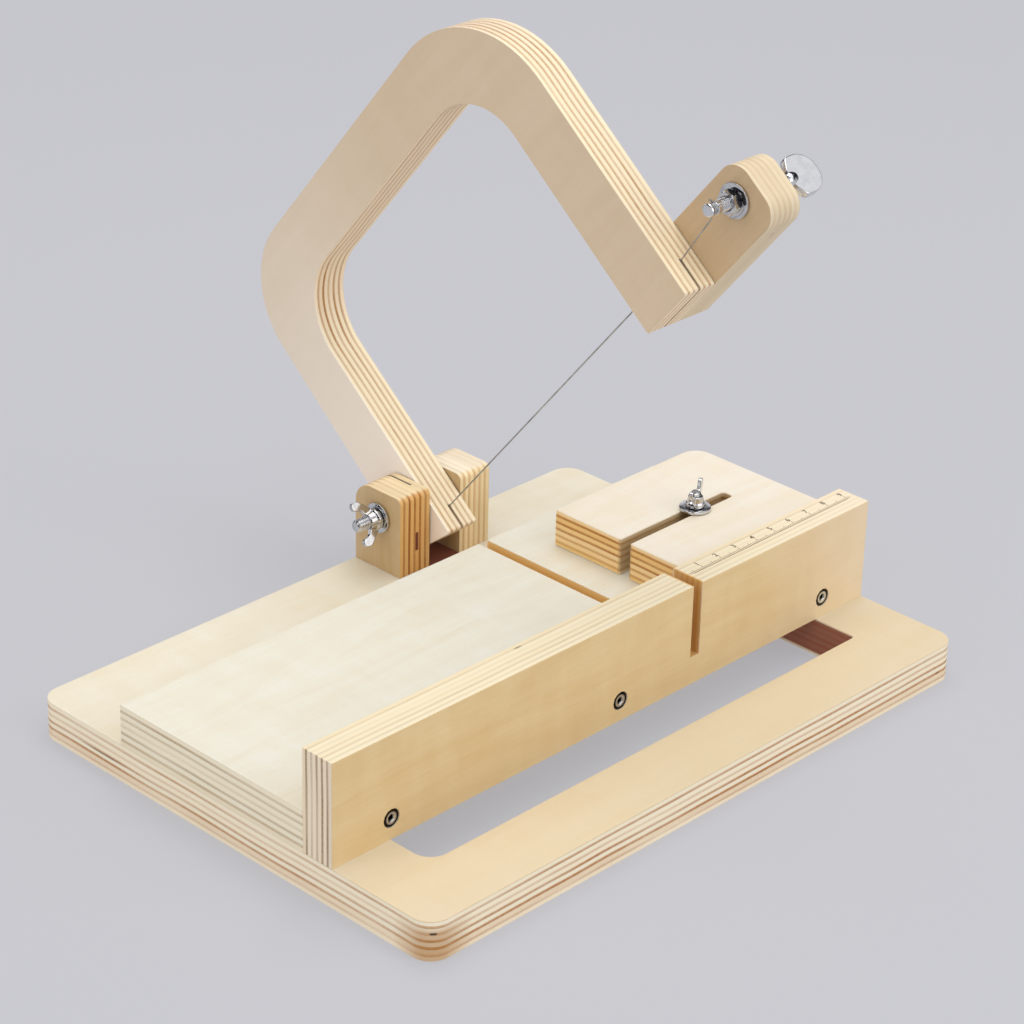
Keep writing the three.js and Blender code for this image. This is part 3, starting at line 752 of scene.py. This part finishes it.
def plate(name, outline, half_thick):
    """A plate across X, its outline drawn in (y, z)."""
    count = len(outline)
    points = [(side * half_thick, p.x, p.y) for side in (-1, 1) for p in outline]
    faces = [tuple(reversed(range(count))), tuple(range(count, 2 * count))]
    faces += [(k, (k + 1) % count, count + (k + 1) % count, count + k) for k in range(count)]
    return mesh_from(points, faces, name)


def merged(name, *meshes):
    """One mesh that holds several, each a closed body of its own."""
    shape = bmesh.new()
    for mesh in meshes:
        shape.from_mesh(mesh)
    bmesh.ops.recalc_face_normals(shape, faces=shape.faces)
    made = bpy.data.meshes.new(name)
    shape.to_mesh(made)
    shape.free()
    return made


def rounded(obj, width, segments):
    bevel = obj.modifiers.new("round", "BEVEL")
    bevel.limit_method = "ANGLE"
    bevel.angle_limit = math.radians(32)
    bevel.width = width
    bevel.segments = segments
    return finished(obj)


def cast(obj, voxel, passes):
    """Fuses overlapping bodies into one skin with filleted joins, as a casting or forging has."""
    remesh = obj.modifiers.new("fuse", "REMESH")
    remesh.mode = "VOXEL"
    remesh.voxel_size = voxel
    smooth = obj.modifiers.new("fillet", "SMOOTH")
    smooth.iterations = passes
    smooth.factor = 0.5
    return finished(obj)


# Hardware is drawn along its own +Z, in millimetres.
Metric = namedtuple("Metric", "radius pitch half_flat head")
M5 = Metric(radius=2.5, pitch=0.8, half_flat=3.98, head=3.5)
M4 = Metric(radius=2.0, pitch=0.7, half_flat=3.38, head=2.8)
ANCHOR_WASHER = 0.8  # thickness
TIE = -4.3  # place of the wire's groove along the tension screw
TUNER_AXIS = Matrix.Translation(TUNER) @ ARM_ROTATION @ Matrix.Rotation(math.pi / 2, 4, "Y")


def pointing(origin, direction, turn=0.0):
    """Own +Z along the direction, then turned about it."""
    quaternion = direction.to_track_quat("Z", "Y")
    return Matrix.Translation(origin) @ quaternion.to_matrix().to_4x4() @ Matrix.Rotation(turn, 4, "Z")


def pointing_left(origin, turn=0.0):
    """Own +Z along -X and own +X up, then turned about that axis."""
    return Matrix.Translation(origin) @ Matrix.Rotation(-math.pi / 2, 4, "Y") @ Matrix.Rotation(turn, 4, "Z")


def middle_of(node):
    low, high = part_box(node)
    return (low + high) / 2


def make_washers(zinc):
    for node, outer, inner, thick, axis in (
        ("pivot_washer_left", 6.0, 2.7, 1.0, X),
        ("pivot_washer_right", 6.0, 2.7, 1.0, X),
        ("stop_washer", 6.0, 2.2, 1.0, Z),
        ("tension_washer", 6.4, 2.7, 1.0, X),
        ("wire_anchor_washer", 4.2, 1.8, ANCHOR_WASHER, ARM_BACK),
    ):
        rings = [(-thick / 2, inner), (-thick / 2, outer), (thick / 2, outer), (thick / 2, inner)]
        washer = link(node + "_steel", loft(node, rings, 72, closed=True))
        rounded(washer, 0.22 * MM, 3)
        belong(washer, node, zinc, "zinc_plated_steel", 40, pointing(middle_of(node), axis))


# One wing of a full-size wing nut: corners (out, up, radius) of its outline.
WING = [
    (2.2, 0.9, 0), (4.4, 1.1, 1), (7.6, 4.4, 2.5), (9.9, 7.4, 1.5),
    (9.4, 11, 1.4), (6.4, 10.4, 1.4), (5.4, 6.6, 2), (2.2, 4.6, 0),
]


def make_wing_nut(node, metric, size, matrix, zinc):
    """Forged wing nut seated at z = 0, with its wings along +Y and -Y, scaled by size."""
    bore = (metric.radius + 0.15) / size
    rings = [
        (0, bore), (0, 4.55), (0.25, 4.75), (1.5, 4.75), (1.9, 4.55), (2.6, 4.05),
        (5.0, 3.6), (5.35, 3.3), (5.35, bore + 0.35), (4.95, bore),
    ]
    hub = loft("hub", rings, closed=True)
    wing = plate("wing", rounded_outline(WING), 0.95)
    other = wing.copy()
    other.transform(Matrix.Rotation(math.pi, 4, "Z"))
    nut = link(node + "_forged", merged(node, hub, wing, other))
    cast(nut, 0.17 * MM, 5)
    belong(nut, node, zinc, "zinc_plated_steel", 180, matrix @ Matrix.Scale(size, 4))


def make_bolt(node, metric, length, threaded, matrix, zinc):
    """Hexagon bolt along +Z: head below z = 0, plain shank, then thread."""
    head = [(-metric.head, 0)] + nut_rings(metric.half_flat, -metric.head, 0) + [(0, 0)]
    shank_radius = metric.radius - 0.05
    start = length - threaded
    shank = [(-0.5, 0), (-0.5, shank_radius), (start, shank_radius), (start, 0)]
    thread = mesh_from(*threaded_shank(metric.radius, start - 0.5, length, metric.pitch), "thread")
    body = merged(node, loft("head", head, 96), loft("shank", shank, 48), thread)
    belong(link(node + "_steel", body), node, zinc, "zinc_plated_steel", 35, matrix)


def make_pivot(zinc):
    nut_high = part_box("pivot_wing_nut")[1]
    seat = Vector((nut_high.x, PIVOT.y, PIVOT.z))
    make_wing_nut("pivot_wing_nut", M5, 0.9, pointing_left(seat, math.radians(120)), zinc)
    low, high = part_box("pivot_bolt")
    seat = Vector((high.x - M5.head * MM, PIVOT.y, PIVOT.z))
    make_bolt("pivot_bolt", M5, (seat.x - low.x) / MM, 22, pointing_left(seat), zinc)


def make_stop_hardware(zinc):
    nut_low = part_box("stop_wing_nut")[0]
    spot = middle_of("stop_washer")
    seat = Vector((spot.x, spot.y, nut_low.z))
    make_wing_nut("stop_wing_nut", M4, 0.78, pointing(seat, Z, math.radians(-64)), zinc)
    low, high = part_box("stop_bolt")
    seat = Vector((spot.x, spot.y, low.z + M4.head * MM))
    make_bolt("stop_bolt", M4, (high.z - seat.z) / MM, 20, Matrix.Translation(seat), zinc)


def countersunk(name, length, recess):
    """Wood screw with its head's face at z = 0 and its point at z = length."""
    deep = 1.7
    rings = [
        (deep, 0), (deep, scaled(recess, 0.7)), (0.2, recess), (0, scaled(recess, 1.12)),
        (0, 3.1), (0.15, 3.3), (0.5, 3.3), (2.2, 1.6), (length - 4, 1.6), (length, 0),
    ]
    return link(name, loft(name, rings, 72))


def make_screws(zinc, dark):
    """Wood screws: up through the base, into the fence's front, and from the cheek into the arm."""
    for node in sorted(NODES):
        low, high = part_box(node)
        middle = (low + high) / 2
        recess, material, slot = cross(2.0, 0.55), zinc, "zinc_plated_steel"
        if node.startswith(("deck_screw", "ear_screw", "fence_foot_screw")):
            place = Matrix.Translation((middle.x, middle.y, low.z))
            length = high.z - low.z
        elif node.startswith("fence_side_screw"):
            place = Matrix.Translation((middle.x, low.y, middle.z)) @ Matrix.Rotation(-math.pi / 2, 4, "X")
            length = high.y - low.y
            # These heads are painted near black round the rim and in the socket, as painted shade.
            recess, material, slot = hexagon(1.3), dark, "dark_steel"
        elif node.startswith("cheek_screw"):
            place = pointing_left(Vector((high.x, middle.y, middle.z)))
            length = high.x - low.x
        else:
            continue
        belong(countersunk(node + "_steel", length / MM, recess), node, material, slot, 30, place)


def make_anchor(zinc):
    """Pan-head screw at the arm's back that clamps the wire's fixed end."""
    washer = middle_of("wire_anchor_washer")
    gap = 0.2
    seat = washer + ARM_BACK * (ANCHOR_WASHER / 2 + gap) * MM
    recess = cross(1.9, 0.5)
    rings = [
        (0.9, 0), (0.9, scaled(recess, 0.7)), (2.25, recess), (2.4, scaled(recess, 1.12)),
        (2.4, 2.1), (2.15, 2.75), (1.6, 3.35), (0.8, 3.6), (0.15, 3.6), (0, 3.45),
        (0, 1.5), (-11, 1.5), (-14, 0),
    ]
    screw = link("wire_anchor_screw_steel", loft("anchor", rings, 72))
    belong(screw, "wire_anchor_screw", zinc, "zinc_plated_steel", 30, pointing(seat, ARM_BACK))


def span_along_tuner(node):
    """Where a node starts and ends along the tension screw, from the screw's own place."""
    low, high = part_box(node)
    return (low.x - TUNER.x) / MM, (high.x - TUNER.x) / MM


def make_tension_hardware(zinc):
    low, high = span_along_tuner("tension_lock_nut")
    bore, lead = 2.55, 0.35
    rings = [(low + lead, bore), (low, bore + lead)]
    rings += nut_rings(3.9, low, high)
    rings += [(high, bore + lead), (high - lead, bore)]
    nut = link("tension_lock_nut_steel", loft("nut", rings, 96, closed=True))
    belong(nut, "tension_lock_nut", zinc, "zinc_plated_steel", 28, TUNER_AXIS)

    low, high = span_along_tuner("tension_tee_nut")
    flange = 1.2
    rings = [
        (low, 2.7), (low, 3.3), (high - flange, 3.3), (high - flange, 6.4),
        (high, 6.4), (high, 3.1), (high - 0.4, 2.7),
    ]
    tee = link("tension_tee_nut_steel", loft("tee", rings, 72, closed=True))
    rounded(tee, 0.2 * MM, 3)
    belong(tee, "tension_tee_nut", zinc, "zinc_plated_steel", 40, TUNER_AXIS)

    make_tension_screw(TUNER_AXIS @ Matrix.Rotation(TUNER_TURN, 4, "Z"))


def make_tension_screw(matrix):
    """Screw along +Z: grooved end for the wire, thread, collar, waist and a flat oval thumb blade."""
    end, collar, shoulder = -6.4, 30.4, 35.4
    blade_end, half_wide, half_thick = 49.5, 7.7, 1.6
    nose = loft("nose", [
        (end, 0), (end, 1.9), (end + 0.15, 2.25), (end + 0.5, 2.4),
        (TIE - 1.45, 2.4), (TIE - 1.2, 2.2), (TIE - 1.1, 1.5),
        (TIE + 1.1, 1.5), (TIE + 1.2, 2.2), (TIE + 1.45, 2.38), (-1.0, 2.38), (-1.0, 0),
    ])
    thread = mesh_from(*threaded_shank(2.4, -1.5, collar - 0.2, M5.pitch), "thread")
    head = loft("head", [
        (collar, 0), (collar, 3.35), (collar + 0.2, 3.6), (collar + 1.1, 3.6), (collar + 1.3, 3.35),
        (collar + 1.8, 2.35), (collar + 2.4, 2.1), (shoulder - 1.2, 2.2), (shoulder - 0.4, 2.6),
        (shoulder, 3.0), (shoulder + 2.5, 2.2), (shoulder + 4.5, 0),
    ])
    corners = [
        (-3, shoulder - 0.2, 0.4), (3, shoulder - 0.2, 0.4),
        (half_wide, shoulder + 2.5, 2.5), (half_wide, blade_end, 7.4),
        (-half_wide, blade_end, 7.4), (-half_wide, shoulder + 2.5, 2.5),
    ]
    outline = rounded_outline(corners, math.radians(6))
    blade = link("blade", plate("blade", outline, half_thick))
    rounded(blade, 1.1 * MM, 5)
    screw = link("tension_screw_steel", merged("tension_screw", nose, thread, head, blade.data))
    bpy.data.objects.remove(blade)
    # Painted shade: the collar is painted near black for the shade round it.
    collar_shade_band = ((collar - 0.1) * MM, (collar + 1.6) * MM)
    plated = metal("collared_zinc", "#E2E2E5", "#D4D5D9", 0.12, band=collar_shade_band)
    belong(screw, "tension_screw", plated, "zinc_plated_steel", 32, matrix)
    for face in screw.data.polygons:
        broad = face.area > 60 * MM * MM  # a side of the blade, which is flat
        face.use_smooth = face.use_smooth and not broad


# ---------------------------------------------------------------- wire


def wire_curve(name, points, radius):
    curve = bpy.data.curves.new(name, "CURVE")
    curve.dimensions = "3D"
    curve.bevel_depth = radius * MM
    curve.bevel_resolution = 4
    curve.use_fill_caps = True
    spline = curve.splines.new("POLY")
    spline.points.add(len(points) - 1)
    for target, place in zip(spline.points, points):
        target.co = (*(Vector(place) * MM), 1)
    return curve


def make_wire(steel):
    mesh, shape = cad_shape("cutting_wire")
    shape.to_mesh(mesh)
    shape.free()
    belong(link("cutting_wire_steel", mesh), "cutting_wire", steel, "wire_steel", 50)

    groove, radius, turns, steps = 1.5, 0.3, 3.5, 28
    climb = 0.62  # a turn's width and a hair
    first = TIE - 0.75
    reach = groove + radius
    coil = []
    for k in range(round(turns * steps) + 1):
        angle = math.tau * k / steps
        coil.append((reach * math.cos(angle), reach * math.sin(angle), first + climb * k / steps))
    long_tail = [
        (-reach, -0.9, -3.1), (-reach - 0.4, -1.5, -3.5),
        (-reach - 0.8, -1.8, -4.1), (-reach - 0.9, -1.8, -4.7),
    ]
    short_tail = [(-1.2, 1.3, -4.9), (-1.8, 1.6, -5.2), (-2.2, 1.6, -5.8)]
    curves = [wire_curve("turns", coil + long_tail, radius), wire_curve("tail", short_tail, radius)]
    winding = merged("wire_winding", *[mesh_of(curve) for curve in curves])
    belong(link("wire_winding_steel", winding), "wire_winding", steel, "wire_steel", 50, TUNER_AXIS)


# ---------------------------------------------------------------- scale on the fence


def scale_ink():
    material, graph, shader = fresh_material("scale_ink")
    place = graph.node("ShaderNodeTexCoord").outputs["Object"]
    blot = graph.noise(graph.stretch(place, (1800, 1800, 1800)), detail=2)
    ink = graph.mix(graph.between(blot, 0.35, 0.65), linear("#6E5530"), linear("#46331A"))
    graph.feed(shader.inputs["Base Color"], ink)
    shader.inputs["Roughness"].default_value = 0.7
    return material


def make_scale():
    """Centimetre scale burnt into the fence's top edge, counted from the saw cut."""
    low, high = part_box("fence_board")
    middle = (low.y + high.y) / 2
    skin = 0.02 * MM
    shape = bmesh.new()

    def mark(x, y0, y1, width):
        spot = Matrix.Translation((x, (y0 + y1) / 2, high.z)) @ Matrix.Diagonal((width, y1 - y0, 2 * skin, 1))
        bmesh.ops.create_cube(shape, size=1.0, matrix=spot)

    start = PIVOT.x
    line = 0.2 * MM
    foot = middle - 0.6 * MM
    for k in range(3, int((high.x - 2 * MM - start) / MM)):
        tall = 2.6 if k % 10 == 0 else 2.0 if k % 5 == 0 else 1.3
        mark(start + k * MM, foot, foot + tall * MM, line)
    mark((start + high.x) / 2, middle - 0.75 * MM, middle - 0.55 * MM, high.x - start - 8 * MM)
    for number in range(1, 10):
        text = bpy.data.curves.new("number", "FONT")
        text.body = str(number)
        text.size = 3.2 * MM
        text.align_x = "CENTER"
        text.extrude = skin
        text.offset = 0.06 * MM
        digit = mesh_of(text)
        digit.transform(Matrix.Translation((start + number * 10 * MM, middle + 2.5 * MM, high.z)))
        shape.from_mesh(digit)
    mesh = bpy.data.meshes.new("fence_scale")
    shape.to_mesh(mesh)
    shape.free()
    scale = link("fence_scale", mesh)
    mesh.materials.append(scale_ink())
    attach(scale, "base")


def worn_dark_steel():
    """Screw head, light in the middle of its face, with its rim and its socket's depth painted near black as
    painted shade; the screw's axis is Y.
    """
    material, graph, shader = fresh_material("worn_dark_steel")
    x, y, z = graph.split(graph.node("ShaderNodeTexCoord").outputs["Object"])
    reach = graph.math("POWER", graph.math("MULTIPLY_ADD", x, x, graph.math("MULTIPLY", z, z)), 0.5)
    # The head's face is light within the rim; the rim and the socket's depth stay near black, painted shade.
    light_middle = graph.between(reach, 2.5 * MM, 2.1 * MM)
    light_middle = graph.math("MULTIPLY", light_middle, graph.between(y, 0.9 * MM, 0.1 * MM))
    graph.feed(shader.inputs["Base Color"], graph.mix(light_middle, linear("#221E1A"), linear("#D8D5CE")))
    shader.inputs["Metallic"].default_value = 1.0
    shader.inputs["Roughness"].default_value = 0.28
    return material


def make_hardware():
    zinc = metal("bright_zinc", "#DCDCDE", "#BBBCC0", 0.12)
    dark = worn_dark_steel()
    steel = metal("wire_steel", "#B9BABD", "#8C8D90", 0.3, scratches=0.1)
    make_washers(zinc)
    make_pivot(zinc)
    make_stop_hardware(zinc)
    make_screws(zinc, dark)
    make_anchor(zinc)
    make_tension_hardware(zinc)
    make_wire(steel)
    make_scale()


make_camera()
make_stage()
make_world()
make_lights()
bpy.context.scene.view_settings.view_transform = "Standard"
make_boards()
make_hardware()
